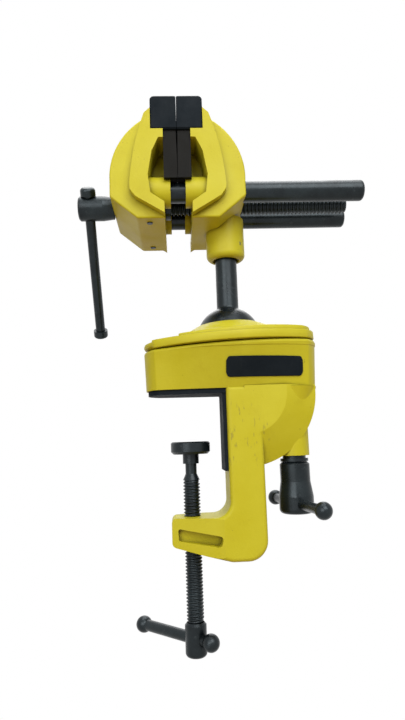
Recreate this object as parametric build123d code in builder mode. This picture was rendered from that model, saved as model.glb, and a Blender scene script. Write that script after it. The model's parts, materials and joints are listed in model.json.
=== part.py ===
from build123d import *
import os
from math import cos, radians, sin, sqrt

os.makedirs("parts", exist_ok=True)

# Clamp-on swivel vise. The origin is the rubber seat under the upper arm, on the clamp screw's
# axis: +X runs from the clamp's mouth to its column, +Y across the jaws, +Z up.

# Clearances
running_fit = 0.05      # radial, shaft in bore or ball in seat
part_gap = 0.3          # between faces of pieces that move past each other
bolt_clearance = 0.4    # radial, round a stud that only passes through
overlap = 1.0           # how far a form runs into or past its neighbour

# Clamp frame
pad_thickness = 3.0
pad_wall = 2.2
pad_inset = 1.2
pad_half = 14.0
pad_drop = 47.0
pad_edge = 0.8
frame_length = 110.0
frame_half_width = 31.0
frame_end_half = 17.0
frame_end_bow = 7.0
frame_corner = 2.5
frame_foot_inset = 1.3
frame_foot_half = 17.5
frame_foot_end_half = 14.0
frame_top = 30.0
frame_edge = 1.6
column_inner = 22.4
column_width = 21.5
column_half = 17.0
column_edge = 2.6
throat = 74.0
throat_fillet = 9.0
arm_tip_fillet = 3.0
arm_bend_radius = 9.0
arm_taper_end = 4.0
arm_taper_skim = 0.01
arm_taper_low = 40.0
arm_taper_height = 50.0
arm_tip = 12.6
arm_tip_height = 16.5
arm_tip_half = 9.5
arm_sag = 9.0
arm_heel_radius = 12.0
web_setback = 3.0
web_offset = 6.5
web_face_radius = 26.0
web_half = 9.0
lug_radius = 9.6
lug_rise = 6.0
lug_flare = 16.3
lug_flare_drop = 20.0
pocket_start = 3.6
pocket_end = 30.5
pocket_high = 6.0
pocket_low = 13.2
pocket_fall = 4.8
pocket_floor = 7.0
pocket_lean = 1.6
pocket_end_rise = 1.0
pocket_foot_lean = 0.4
pocket_tip_fillet = 1.2
pocket_fillet = 2.2

# Ball joint
ball_x = 27.0
ball_z = 36.0
ball_radius = 20.5
post_radius = 7.0
post_top = 76.0
post_root = 3.0
post_root_sink = 0.5
post_edge = 1.0
groove_height = 61.0
groove_depth = 2.0
seat_radius = 21.0
seat_low = 14.0
seat_high = 8.0
socket_floor = 1.2
socket_relief = 16.0
socket_rise = 2.0

# Clamp plate
plate_tilt = 2.5
plate_gap = 0.7
plate_thickness = 4.8
plate_inset = 0.4
plate_edge = 1.2
lip_length = 6.0
lip_drop = 2.6
dome_foot = 29.3
dome_mouth = 20.4
dome_height = 10.6
dome_root = 0.5
dome_hollow = 11.2
boss_radius = 10.6
boss_top = 42.4

# Lock stud, washer and knob
lock_setback = 17.0
stud_radius = 4.0
stud_head_radius = 7.0
stud_head_height = 4.0
stud_recess = 5.0
stud_head_edge = 1.2
stud_foot_edge = 0.8
stud_reach = 0.7         # share of the knob's height that the stud fills
stud_bore_spare = 2.0
washer_radius = 7.2
washer_thickness = 3.6
washer_step = 1.5
knob_radius = 9.25
knob_grip_radius = 10.7
knob_height = 31.5
knob_straight = 12.0
knob_shoulder = 1.4
knob_flare = 9.0
knob_round = 3.0
lock_bar_radius = 3.0
lock_bar_half = 43.0
lock_bar_below = 29.4
lock_bar_turn = 82.0
lock_ball_radius = 5.0

# Head
parting_x = -3.4
screw_z = 126.0
jaw_half = 36.0
jaw_back_half = 30.0
jaw_face = 8.5
jaw_depth = 42.0
jaw_crest = 53.0
jaw_crest_slope = 3.4
jaw_crest_batter = 0.5
jaw_back_fillet = 3.0
jaw_foot = 19.4
jaw_foot_length = 25.2
jaw_shoulder = 46.2
jaw_shoulder_reach = 20.4
jaw_bend = 45.5
jaw_bend_end = 5.0
jaw_knee = 5.5
jaw_edge = 1.2
face_reach = 29.3
face_bend_end = 1.0
face_knee = 3.2
face_knee_reach = 25.8
face_knee_drop = 8.0
face_foot = 18.6
face_bend = 170.0
face_fillet = 2.0
cap_seat = 35.6
cap_wall = 16.2
cap_height = 22.0
cap_round = 2.6
cap_notch = 1.1
cap_edge = 0.8
plate_foot = 4.5
plate_flat = 10.0
plate_half = 34.0
plate_relief = 0.4
plate_hold_radius = 10.2
window_reach = 18.2
window_top = 30.0
window_top_reach = 11.4
window_bottom = 11.6
window_neck = 2.6
window_neck_drop = 9.0
window_waist_drop = 24.0
window_foot_lean = 1.4
window_fillet = 1.2
rib_thickness = 4.0
rib_offset = 10.8
shelf_height = 17.0
shelf_half = 12.8
shelf_setback = 0.5
rod_radius = 6.5
rod_spacing = 44.0
rod_end = 114.3
rod_socket = 38.0
rod_edge = 2.2
boss_wall = 3.0
boss_reach = 4.7
boss_root = 2.0
rod_pin_radius = 1.8
rod_pin_length = 16.0
rod_pin_reach = 18.0
rod_pin_stand = 0.6
neck_radius = 12.5
neck_bottom = 88.0
neck_edge = 3.6
neck_root = 8.0
neck_mouth = 8.6
neck_mouth_depth = 2.4
post_pin_radius = 2.0
post_pin_length = 18.0

# Jaw screw and handle
screw_radius = 5.6
screw_end = 109.0
screw_edge = 1.0
collar_radius = 8.3
collar_width = 3.2
nut_radius = 8.5
nut_length = 18.0
nut_start = 13.0
hub_radius = 8.1
hub_neck_radius = 7.2
hub_end = 68.8
hub_taper = 7.0
hub_edge = 1.0
handle_x = 62.2
handle_radius = 3.3
handle_lean = 35.0
handle_below = 91.0
handle_cap_radius = 5.0
handle_cap_length = 5.4
handle_cap_floor = 2.0
handle_top_round = 2.4
handle_bottom_round = 1.6

# Clamp screw, swivel pad and bar
clamp_radius = 5.2
clamp_neck_radius = 3.5
pad_top = 28.9
pad_radius = 12.2
pad_rim = 7.6
pad_skirt_radius = 5.0
pad_skirt = 5.8
pad_top_edge = 0.8
pad_under_edge = 1.5
neck_length = 6.2
neck_cone = 3.8
clamp_hub_top = 135.6
clamp_hub_radius = 6.5
clamp_hub_length = 19.5
clamp_hub_edge = 1.5
clamp_hub_round = 2.4
clamp_bar_drop = 145.3
clamp_bar_radius = 3.4
clamp_bar_turn = 45.0
clamp_bar_length = 58.4
clamp_ball_radius = 5.15

# Lines and planes that several pieces share
column_outer = column_inner + column_width
rod_offset = rod_spacing / 2
column_top = pad_thickness + overlap
arm_foot = throat + arm_tip_height
gusset_x = ball_x + web_offset
web_radius = frame_length / 2 - web_offset - web_setback
lock_x = ball_x + frame_length / 2 - lock_setback
lug_bottom = web_radius - lug_rise
lock_bar_drop = lug_bottom + lock_bar_below
ball_centre = Location((ball_x, 0, ball_z))
top_plane = Plane((ball_x, 0, frame_top), x_dir=(cos(radians(plate_tilt)), 0, sin(radians(plate_tilt))),
                  z_dir=(-sin(radians(plate_tilt)), 0, cos(radians(plate_tilt))))
plate_plane = top_plane.offset(plate_gap)
handle_dir = (0, -sin(radians(handle_lean)), cos(radians(handle_lean)))
handle_plane = Plane((-handle_x, 0, screw_z), x_dir=(1, 0, 0), z_dir=handle_dir)
clamp_bar_dir = (cos(radians(clamp_bar_turn)), -sin(radians(clamp_bar_turn)), 0)
clamp_bar_plane = Plane((0, 0, -clamp_bar_drop), x_dir=(0, 0, 1), z_dir=clamp_bar_dir)
lock_bar_dir = (cos(radians(lock_bar_turn)), -sin(radians(lock_bar_turn)), 0)
lock_bar_plane = Plane((lock_x, 0, -lock_bar_drop), x_dir=(0, 0, 1), z_dir=lock_bar_dir)


def bowed_plan(half, end_half, inset):
    """Plan of the clamp frame, round the ball's axis: two long bows and two round ends."""
    end = frame_length / 2 - inset
    corner = end - frame_end_bow
    side = half - inset
    tip = end_half - inset
    with BuildSketch() as plan:
        with BuildLine():
            ThreePointArc((-corner, -tip), (0, -side), (corner, -tip))
            ThreePointArc((corner, -tip), (end, 0), (corner, tip))
            ThreePointArc((corner, tip), (0, side), (-corner, tip))
            ThreePointArc((-corner, tip), (-end, 0), (-corner, -tip))
        make_face()
        fillet(plan.vertices(), frame_corner)
    return plan.sketch


def gusset_plan():
    """Plan of one half of the gusset, thick at the column and thin at the rim."""
    with BuildSketch() as plan:
        Polygon((gusset_x, -column_half), (gusset_x + web_face_radius, -column_half),
                (gusset_x + web_radius, -web_half), (gusset_x + web_radius, web_half),
                (gusset_x + web_face_radius, column_half), (gusset_x, column_half), align=None)
    return plan.sketch


def jaw_back_profile():
    """Side view of a jaw's back, from the parting plane: crest, long bend and bevelled foot."""
    with BuildSketch() as profile:
        with BuildLine():
            Polyline((jaw_face, cap_seat), (cap_wall, cap_seat), (cap_wall, jaw_crest),
                     (jaw_shoulder_reach - jaw_crest_batter, jaw_crest - jaw_crest_slope),
                     (jaw_shoulder_reach, jaw_shoulder))
            RadiusArc((jaw_shoulder_reach, jaw_shoulder), (jaw_depth, jaw_bend_end), jaw_bend)
            FilletPolyline((jaw_depth, jaw_bend_end), (jaw_depth, -jaw_knee), (jaw_foot_length, -jaw_foot),
                           (jaw_face, -jaw_foot), radius=jaw_back_fillet)
            Line((jaw_face, -jaw_foot), (jaw_face, cap_seat))
        make_face()
    return profile.sketch


def jaw_front_profile():
    """Side view of the wider part of a jaw, just behind its plate."""
    with BuildSketch() as profile:
        with BuildLine():
            Polyline((jaw_face, cap_seat), (cap_wall, cap_seat), (cap_wall, jaw_crest - jaw_crest_slope),
                     (jaw_shoulder_reach - jaw_crest_batter, jaw_shoulder))
            RadiusArc((jaw_shoulder_reach - jaw_crest_batter, jaw_shoulder), (face_reach, face_bend_end),
                      face_bend)
            FilletPolyline((face_reach, face_bend_end), (face_reach, -face_knee),
                           (face_knee_reach, -face_knee_drop), (jaw_face, -face_foot), radius=face_fillet)
            Line((jaw_face, -face_foot), (jaw_face, cap_seat))
        make_face()
    return profile.sketch


def window_profile():
    """Side view of the cavity behind the jaw plate, wider at the middle than at its ends."""
    with BuildSketch() as profile:
        with BuildLine():
            FilletPolyline((jaw_face - boss_wall, window_top), (window_top_reach, window_top),
                           (window_reach - window_neck, window_top - window_neck_drop),
                           (window_reach, window_top - window_waist_drop),
                           (window_reach - window_foot_lean, -window_bottom / 2), (jaw_face, -window_bottom),
                           (jaw_face - boss_wall, -window_bottom), radius=window_fillet, close=True)
        make_face()
    return profile.sketch


frame_plan = bowed_plan(frame_half_width, frame_end_half, 0)
cover_plan = bowed_plan(frame_half_width, frame_end_half, plate_inset)
foot_plan = bowed_plan(frame_foot_half, frame_foot_end_half, frame_foot_inset)
pad_plan = bowed_plan(frame_foot_half, frame_foot_end_half, frame_foot_inset + pad_inset)
web_plan = gusset_plan()
back_profile = jaw_back_profile()
front_profile = jaw_front_profile()
cavity_profile = window_profile()

# Clamp frame: column and lower arm, gusset with its lug, and the bowed upper body with the ball socket
with BuildPart() as clamp_body:
    with BuildSketch(Plane.XZ):
        with BuildLine():
            FilletPolyline((column_inner, column_top), (column_inner, -throat), (-arm_tip, -throat),
                           (-arm_tip, -arm_foot), (column_inner, -arm_foot - arm_sag),
                           (column_outer, -arm_foot - arm_sag), (column_outer, column_top),
                           radius=(throat_fillet, arm_tip_fillet, arm_tip_fillet, arm_bend_radius,
                                   arm_heel_radius))
            Line((column_inner, column_top), (column_outer, column_top))
        make_face()
    extrude(amount=column_half, both=True)
    fillet(clamp_body.faces().filter_by(Axis.Y).edges(), column_edge)
    # the lower arm narrows to its tip
    with BuildSketch(Plane.XY.offset(-throat - arm_taper_low)):
        with BuildLine():
            Polyline((-arm_tip - overlap, arm_tip_half),
                     (column_inner - arm_taper_end, column_half + arm_taper_skim),
                     (-arm_tip - overlap, column_half + overlap), close=True)
        make_face()
        mirror(about=Plane.XZ)
    extrude(amount=arm_taper_height, mode=Mode.SUBTRACT)
    # quarter-round gusset, thinner towards its rim
    with BuildSketch(Plane.XY):
        add(web_plan)
    revolve(axis=Axis((gusset_x, 0, 0), (0, 1, 0)), revolution_arc=90)
    with BuildSketch(Plane.XY):
        add(web_plan)
    extrude(amount=column_top)
    with BuildSketch(Plane.XY.offset(-lug_bottom)):
        with Locations((lock_x, 0)):
            Circle(lug_radius)
    extrude(amount=lug_bottom + column_top)
    with Locations((lock_x, 0, pad_thickness - lug_flare_drop)):
        Cone(lug_radius, lug_flare, lug_flare_drop, align=(Align.CENTER, Align.CENTER, Align.MIN))
    # upper body: straight and narrow at the pad, bowed at the top
    with BuildSketch(Plane.XY.offset(pad_thickness)):
        with Locations((ball_x, 0)):
            add(foot_plan)
    with BuildSketch(Plane.XY.offset(frame_top + plate_thickness)):
        with Locations((ball_x, 0)):
            add(frame_plan)
    loft()
    split(bisect_by=top_plane, keep=Keep.BOTTOM)
    fillet(clamp_body.faces().sort_by(Axis.Z)[-1].edges(), frame_edge)
    # ball socket: a straight bore with a ledge for the seat ring and relief under the ball
    with Locations(Location((ball_x, 0, ball_z - seat_low - running_fit))):
        Cylinder(seat_radius + running_fit, frame_top, align=(Align.CENTER, Align.CENTER, Align.MIN),
                 mode=Mode.SUBTRACT)
    with Locations(Location((ball_x, 0, ball_z - ball_radius - socket_floor))):
        Cylinder(socket_relief, ball_radius, align=(Align.CENTER, Align.CENTER, Align.MIN),
                 mode=Mode.SUBTRACT)
    with Locations(Location((lock_x, 0, 0))):
        Cylinder(stud_radius + bolt_clearance, 4 * frame_top, mode=Mode.SUBTRACT)
    # threaded bore for the clamp screw
    with Locations(Location((0, 0, -arm_foot))):
        Cylinder(clamp_radius + running_fit, 4 * arm_tip_height, mode=Mode.SUBTRACT)
    # pocket on each side of the lower arm, following its underside
    for side in (-1, 1):
        with BuildSketch(Plane.XZ.offset(-side * pocket_floor)):
            with BuildLine():
                FilletPolyline((pocket_start - arm_tip, -throat - pocket_high),
                               (pocket_end - arm_tip, -throat - pocket_high - pocket_fall),
                               (pocket_end - arm_tip - pocket_lean,
                                -throat - pocket_low - pocket_fall + pocket_end_rise),
                               (pocket_start - arm_tip + pocket_foot_lean, -throat - pocket_low),
                               radius=(pocket_tip_fillet, pocket_fillet, pocket_fillet, pocket_tip_fillet),
                               close=True)
            make_face()
        extrude(amount=-side * column_half, mode=Mode.SUBTRACT)

# Rubber pad: under the upper arm and down the column
with BuildPart() as bench_pad:
    with BuildSketch(Plane.XY):
        with Locations((ball_x, 0)):
            add(pad_plan)
        with Locations((column_inner, 0)):
            Rectangle(frame_length, 2 * frame_half_width, align=(Align.MIN, Align.CENTER),
                      mode=Mode.SUBTRACT)
    extrude(amount=pad_thickness)
    with BuildSketch(Plane.XY.offset(-pad_drop)):
        with Locations((column_inner, 0)):
            Rectangle(pad_wall, 2 * pad_half, align=(Align.MAX, Align.CENTER))
    extrude(amount=pad_drop)
    fillet(bench_pad.edges().filter_by(Axis.Y).sort_by(Axis.X)[0], pad_edge)

# Clamp plate: bowed flange with a hooked lip, ball dome and stud boss
with BuildPart() as clamp_plate:
    with BuildSketch(plate_plane):
        add(cover_plan)
    extrude(amount=plate_thickness)
    fillet(clamp_plate.edges(), plate_edge)
    with BuildSketch(plate_plane.offset(plate_thickness)):
        with Locations((-frame_length / 2 + lip_length, 0)):
            Rectangle(2 * lip_length, 2 * frame_half_width, align=(Align.MAX, Align.CENTER))
    extrude(amount=-lip_drop, mode=Mode.SUBTRACT)
    with BuildSketch(Plane(plate_plane.origin, x_dir=plate_plane.x_dir, z_dir=-plate_plane.y_dir)):
        with BuildLine():
            Polyline((0, plate_thickness - dome_root), (dome_foot, plate_thickness - dome_root),
                     (dome_foot, plate_thickness))
            RadiusArc((dome_foot, plate_thickness), (dome_mouth, plate_thickness + dome_height),
                      -dome_hollow)
            Polyline((dome_mouth, plate_thickness + dome_height), (0, plate_thickness + dome_height),
                     (0, plate_thickness - dome_root))
        make_face()
    revolve(axis=Axis(plate_plane.origin, plate_plane.z_dir))
    with Locations(Location((lock_x, 0, boss_top))):
        Cylinder(boss_radius, boss_top - frame_top - plate_thickness,
                 align=(Align.CENTER, Align.CENTER, Align.MAX))
    with Locations(ball_centre):
        Sphere(ball_radius + running_fit, mode=Mode.SUBTRACT)
    with Locations(Location((ball_x, 0, ball_z + socket_rise))):
        Cylinder(seat_radius + running_fit, 4 * seat_low, align=(Align.CENTER, Align.CENTER, Align.MAX),
                 mode=Mode.SUBTRACT)
    with Locations(Location((lock_x, 0, 0))):
        Cylinder(stud_radius + bolt_clearance, 4 * frame_top, mode=Mode.SUBTRACT)
    with Locations(Location((lock_x, 0, boss_top))):
        Cylinder(stud_head_radius + bolt_clearance, 2 * stud_recess, mode=Mode.SUBTRACT)

# Stud: head in the plate's recess, shank down through the lug into the knob
stud_seat = boss_top - stud_recess
stud_end = lug_bottom + washer_thickness + knob_height * stud_reach
with BuildPart() as lock_stud:
    with Locations(Location((lock_x, 0, stud_seat))):
        Cylinder(stud_head_radius, stud_head_height, align=(Align.CENTER, Align.CENTER, Align.MIN))
        Cylinder(stud_radius, stud_seat + stud_end, align=(Align.CENTER, Align.CENTER, Align.MAX))
    fillet(lock_stud.faces().sort_by(Axis.Z)[-1].edges(), stud_head_edge)
    chamfer(lock_stud.faces().sort_by(Axis.Z)[0].edges(), stud_foot_edge)

# Seat ring that the ball turns on
with BuildPart() as ball_seat:
    with Locations(Location((ball_x, 0, ball_z - seat_low))):
        Cylinder(seat_radius, seat_low - seat_high, align=(Align.CENTER, Align.CENTER, Align.MIN))
    with Locations(ball_centre):
        Sphere(ball_radius + running_fit, mode=Mode.SUBTRACT)

# Ball and its post, grooved for the cross pin that keeps the head on
with BuildPart() as ball_post:
    with Locations(ball_centre):
        Sphere(ball_radius)
        Cylinder(post_radius, post_top, align=(Align.CENTER, Align.CENTER, Align.MIN))
    root_rise = sqrt(ball_radius**2 - (post_radius + post_root)**2) - post_root_sink
    with Locations(Location((ball_x, 0, ball_z + root_rise))):
        Cone(post_radius + post_root, post_radius, 2 * post_root,
             align=(Align.CENTER, Align.CENTER, Align.MIN))
    chamfer(ball_post.faces().sort_by(Axis.Z)[-1].edges(), post_edge)
    with Locations(Location((ball_x, 0, ball_z + groove_height))):
        Cylinder(post_radius + overlap, 2 * (post_pin_radius + part_gap), mode=Mode.SUBTRACT)
        Cylinder(post_radius - groove_depth, 2 * (post_pin_radius + part_gap))


def casting(side):
    """One jaw casting before its own bores: side is 1 for the fixed jaw, -1 for the moving one."""
    with BuildPart() as blank:
        with BuildSketch(Plane.XZ):
            add(back_profile)
        extrude(amount=jaw_back_half, both=True)
        fillet(blank.faces().filter_by(Axis.Y).edges(), jaw_edge)
        with BuildSketch(Plane.XZ):
            add(front_profile)
        extrude(amount=jaw_half, both=True)
        # cavity behind the plate, open at both sides, with upright ribs and a shelf
        with BuildSketch(Plane.XZ):
            add(cavity_profile)
        extrude(amount=2 * jaw_half, both=True, mode=Mode.SUBTRACT)
        for offset in (-rib_offset, rib_offset):
            with BuildSketch(Plane.XZ.offset(offset)):
                add(cavity_profile)
                with Locations((jaw_face, 0)):
                    Rectangle(jaw_depth, 4 * jaw_depth, align=(Align.MAX, Align.CENTER),
                              mode=Mode.SUBTRACT)
            extrude(amount=rib_thickness / 2, both=True)
        with Locations((jaw_face, 0, shelf_height)):
            Box(window_reach - jaw_face - shelf_setback, 2 * shelf_half, rib_thickness,
                align=(Align.MIN, Align.CENTER, Align.CENTER))
        # bosses round the guide rods and the screw, each from the gap between the jaws to the back
        for offset, reach in ((-rod_offset, boss_reach), (0, jaw_face), (rod_offset, boss_reach)):
            with BuildSketch(Plane.YZ.offset(reach)):
                with Locations((offset, 0)):
                    Circle(rod_radius + boss_wall)
            extrude(amount=window_reach + boss_root - reach)
    turned = blank.part if side > 0 else mirror(blank.part, about=Plane.YZ)
    return turned.moved(Location((parting_x, 0, screw_z)))


# Fixed jaw: casting with the neck socket, rod bores and the nut's seat
post_pin_x = ball_x + post_radius - groove_depth + part_gap + post_pin_radius
fixed_casting = casting(1)
with BuildPart() as fixed_jaw:
    add(fixed_casting)
    with Locations((ball_x, 0, neck_bottom)):
        Cylinder(neck_radius, screw_z - neck_bottom - face_foot + neck_root,
                 align=(Align.CENTER, Align.CENTER, Align.MIN))
    fillet(fixed_jaw.faces().sort_by(Axis.Z)[0].edges(), neck_edge)
    with Locations((ball_x, 0, 0)):
        Cylinder(post_radius + running_fit, ball_z + post_top + part_gap,
                 align=(Align.CENTER, Align.CENTER, Align.MIN), mode=Mode.SUBTRACT)
    with Locations((ball_x, 0, neck_bottom)):
        Cylinder(neck_mouth, 2 * neck_mouth_depth, mode=Mode.SUBTRACT)
    with BuildSketch(Plane.YZ.offset(parting_x)):
        with Locations((-rod_offset, screw_z), (rod_offset, screw_z)):
            Circle(rod_radius + running_fit)
    extrude(amount=2 * jaw_depth, mode=Mode.SUBTRACT)
    with BuildSketch(Plane.YZ.offset(parting_x)):
        with Locations((0, screw_z)):
            Circle(screw_radius + 2 * part_gap)
    extrude(amount=2 * jaw_depth, mode=Mode.SUBTRACT)
    with BuildSketch(Plane.YZ.offset(parting_x + nut_start)):
        with Locations((0, screw_z)):
            Circle(nut_radius)
    extrude(amount=nut_length, mode=Mode.SUBTRACT)
    with BuildSketch(Plane.XZ):
        with Locations((post_pin_x, ball_z + groove_height)):
            Circle(post_pin_radius)
    extrude(amount=post_pin_length / 2, both=True, mode=Mode.SUBTRACT)

# Moving jaw: casting with the rods' blind sockets and the screw's plain bearing
moving_casting = casting(-1)
with BuildPart() as moving_jaw:
    add(moving_casting)
    with BuildSketch(Plane.YZ.offset(parting_x - rod_socket)):
        with Locations((-rod_offset, screw_z), (rod_offset, screw_z)):
            Circle(rod_radius)
    extrude(amount=2 * rod_socket, mode=Mode.SUBTRACT)
    with BuildSketch(Plane.YZ.offset(parting_x - 2 * jaw_depth)):
        with Locations((0, screw_z)):
            Circle(screw_radius + running_fit)
    extrude(amount=2 * jaw_depth, mode=Mode.SUBTRACT)
    for offset in (-rod_offset, rod_offset):
        with Locations((parting_x - rod_pin_reach, offset, screw_z - jaw_foot)):
            Cylinder(rod_pin_radius, 2 * rod_pin_length, mode=Mode.SUBTRACT)


def jaw_plate(side):
    """Flat black plate on a jaw's face, notched round the rod bosses, with its top leaning back."""
    with BuildPart() as plate:
        with BuildSketch(Plane.XZ):
            Polygon((part_gap / 2, plate_foot), (part_gap / 2, plate_foot + plate_flat),
                    (part_gap / 2 + plate_relief, cap_seat), (jaw_face, cap_seat), (jaw_face, plate_foot),
                    align=None)
        extrude(amount=plate_half, both=True)
        with BuildSketch(Plane.YZ):
            with Locations((-rod_offset, 0), (0, 0), (rod_offset, 0)):
                Circle(plate_hold_radius)
        extrude(amount=2 * jaw_face, mode=Mode.SUBTRACT)
    turned = plate.part if side > 0 else mirror(plate.part, about=Plane.YZ)
    return turned.moved(Location((parting_x, 0, screw_z)))


def jaw_cap(side):
    """Soft cap on a jaw's crest: rounded outer edge, small bevel where the two caps meet."""
    with BuildPart() as cap:
        with BuildSketch(Plane.XZ):
            with BuildLine():
                Polyline((part_gap / 2, cap_seat), (part_gap / 2, cap_seat + cap_height - cap_notch),
                         (part_gap / 2 + cap_notch, cap_seat + cap_height))
                FilletPolyline((part_gap / 2 + cap_notch, cap_seat + cap_height),
                               (cap_wall, cap_seat + cap_height), (cap_wall, cap_seat), radius=cap_round)
                Line((cap_wall, cap_seat), (part_gap / 2, cap_seat))
            make_face()
        extrude(amount=jaw_half, both=True)
        chamfer(cap.faces().filter_by(Axis.Y).edges().filter_by(GeomType.LINE).filter_by(Axis.X), cap_edge)
    turned = cap.part if side > 0 else mirror(cap.part, about=Plane.YZ)
    return turned.moved(Location((parting_x, 0, screw_z)))


fixed_plate_form = jaw_plate(1)
moving_plate_form = jaw_plate(-1)
fixed_cap_form = jaw_cap(1)
moving_cap_form = jaw_cap(-1)
with BuildPart() as fixed_jaw_plate:
    add(fixed_plate_form)
with BuildPart() as moving_jaw_plate:
    add(moving_plate_form)
with BuildPart() as fixed_jaw_cap:
    add(fixed_cap_form)
with BuildPart() as moving_jaw_cap:
    add(moving_cap_form)

# Nut for the jaw screw, pressed into the fixed jaw
with BuildPart() as spindle_nut:
    with BuildSketch(Plane.YZ.offset(parting_x + nut_start)):
        with Locations((0, screw_z)):
            Circle(nut_radius)
            Circle(screw_radius + running_fit, mode=Mode.SUBTRACT)
    extrude(amount=nut_length)

# Cross pin in the post's groove
with BuildPart() as post_pin:
    with BuildSketch(Plane.XZ):
        with Locations((post_pin_x, ball_z + groove_height)):
            Circle(post_pin_radius)
    extrude(amount=post_pin_length / 2, both=True)


def guide_rod(offset):
    """Rod fixed in the moving jaw, which runs through the other jaw."""
    with BuildPart() as rod:
        with BuildSketch(Plane.YZ.offset(parting_x - rod_socket)):
            with Locations((offset, screw_z)):
                Circle(rod_radius)
        extrude(amount=rod_end + rod_socket - parting_x)
        fillet(rod.faces().sort_by(Axis.X)[-1].edges(), rod_edge)
        with Locations((parting_x - rod_pin_reach, offset, screw_z - jaw_foot)):
            Cylinder(rod_pin_radius, 2 * rod_pin_length, mode=Mode.SUBTRACT)
    return rod


def rod_pin(offset):
    """Pin through the moving jaw's foot into a rod."""
    with BuildPart() as pin:
        with Locations((parting_x - rod_pin_reach, offset, screw_z - jaw_foot - rod_pin_stand)):
            Cylinder(rod_pin_radius, rod_pin_length, align=(Align.CENTER, Align.CENTER, Align.MIN))
    return pin


guide_rod_front = guide_rod(-rod_offset)
guide_rod_rear = guide_rod(rod_offset)
rod_pin_front = rod_pin(-rod_offset)
rod_pin_rear = rod_pin(rod_offset)

# Jaw screw with its hub, cross-bored for the handle
with BuildPart() as jaw_screw:
    with BuildSketch(Plane.YZ.offset(-hub_end)):
        with Locations((0, screw_z)):
            Circle(screw_radius)
    extrude(amount=hub_end + screw_end)
    chamfer(jaw_screw.faces().sort_by(Axis.X)[-1].edges(), screw_edge)
    hub_length = hub_end - part_gap + parting_x - jaw_depth
    with BuildSketch(Plane.XZ.shift_origin((0, 0, screw_z))):
        with BuildLine():
            Polyline((-hub_end, 0), (-hub_end, hub_radius - hub_edge), (hub_edge - hub_end, hub_radius),
                     (hub_length - hub_taper - hub_end, hub_radius), (hub_length - hub_end, hub_neck_radius),
                     (hub_length - hub_end, 0), close=True)
        make_face()
    revolve(axis=Axis((0, 0, screw_z), (1, 0, 0)))
    with BuildSketch(handle_plane.offset(-2 * hub_radius)):
        Circle(handle_radius + running_fit)
    extrude(amount=4 * hub_radius, mode=Mode.SUBTRACT)

# Collar on the screw that draws the moving jaw along
with BuildPart() as screw_collar:
    with BuildSketch(Plane.YZ.offset(parting_x - jaw_face + part_gap)):
        with Locations((0, screw_z)):
            Circle(collar_radius)
            Circle(screw_radius, mode=Mode.SUBTRACT)
    extrude(amount=collar_width)

# Handle bar and its two ends
handle_top = hub_radius + part_gap
with BuildPart() as handle_bar:
    with BuildSketch(handle_plane.offset(-handle_below)):
        Circle(handle_radius)
    extrude(amount=handle_below + handle_top + handle_cap_length - handle_cap_floor)
with BuildPart() as handle_end_top:
    with BuildSketch(handle_plane.offset(handle_top)):
        Circle(handle_cap_radius)
    extrude(amount=handle_cap_length)
    fillet(handle_end_top.faces().sort_by(Axis.Z)[-1].edges(), handle_top_round)
    with BuildSketch(handle_plane.offset(handle_top)):
        Circle(handle_radius)
    extrude(amount=handle_cap_length - handle_cap_floor, mode=Mode.SUBTRACT)
with BuildPart() as handle_end_bottom:
    with BuildSketch(handle_plane.offset(-handle_below - handle_cap_floor)):
        Circle(handle_cap_radius)
    extrude(amount=handle_cap_length)
    fillet(handle_end_bottom.faces().sort_by(Axis.Z)[0].edges(), handle_bottom_round)
    with BuildSketch(handle_plane.offset(-handle_below)):
        Circle(handle_radius)
    extrude(amount=handle_cap_length, mode=Mode.SUBTRACT)

# Clamp screw: waisted tip in the pad, hub at the foot cross-bored for the bar
pad_under = pad_top + pad_rim
skirt_foot = pad_under + pad_skirt
hub_foot = clamp_hub_top + clamp_hub_length
with BuildPart() as clamp_screw:
    with BuildSketch(Plane.XZ):
        with BuildLine():
            Polyline((0, part_gap - pad_under), (clamp_neck_radius, part_gap - pad_under),
                     (clamp_neck_radius, -skirt_foot - neck_length),
                     (clamp_radius, -skirt_foot - neck_length - neck_cone), (clamp_radius, -clamp_hub_top),
                     (clamp_hub_radius, -clamp_hub_top - clamp_hub_edge))
            FilletPolyline((clamp_hub_radius, -clamp_hub_top - clamp_hub_edge),
                           (clamp_hub_radius, -hub_foot), (0, -hub_foot), radius=clamp_hub_round)
            Line((0, -hub_foot), (0, part_gap - pad_under))
        make_face()
    revolve(axis=Axis.Z)
    with BuildSketch(clamp_bar_plane.offset(-2 * clamp_hub_radius)):
        Circle(clamp_bar_radius + running_fit)
    extrude(amount=4 * clamp_hub_radius, mode=Mode.SUBTRACT)

# Swivel pad: flat disc with a skirt that holds the screw's tip
with BuildPart() as swivel_pad:
    with BuildSketch(Plane.XZ):
        Polygon((0, -pad_top), (pad_radius - pad_top_edge, -pad_top), (pad_radius, -pad_top - pad_top_edge),
                (pad_radius, pad_under_edge - pad_under), (pad_radius - pad_under_edge, -pad_under),
                (pad_skirt_radius, -pad_under), (pad_skirt_radius, -skirt_foot),
                (clamp_neck_radius + running_fit, -skirt_foot),
                (clamp_neck_radius + running_fit, part_gap + running_fit - pad_under),
                (0, part_gap + running_fit - pad_under), align=None)
    revolve(axis=Axis.Z)

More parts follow.
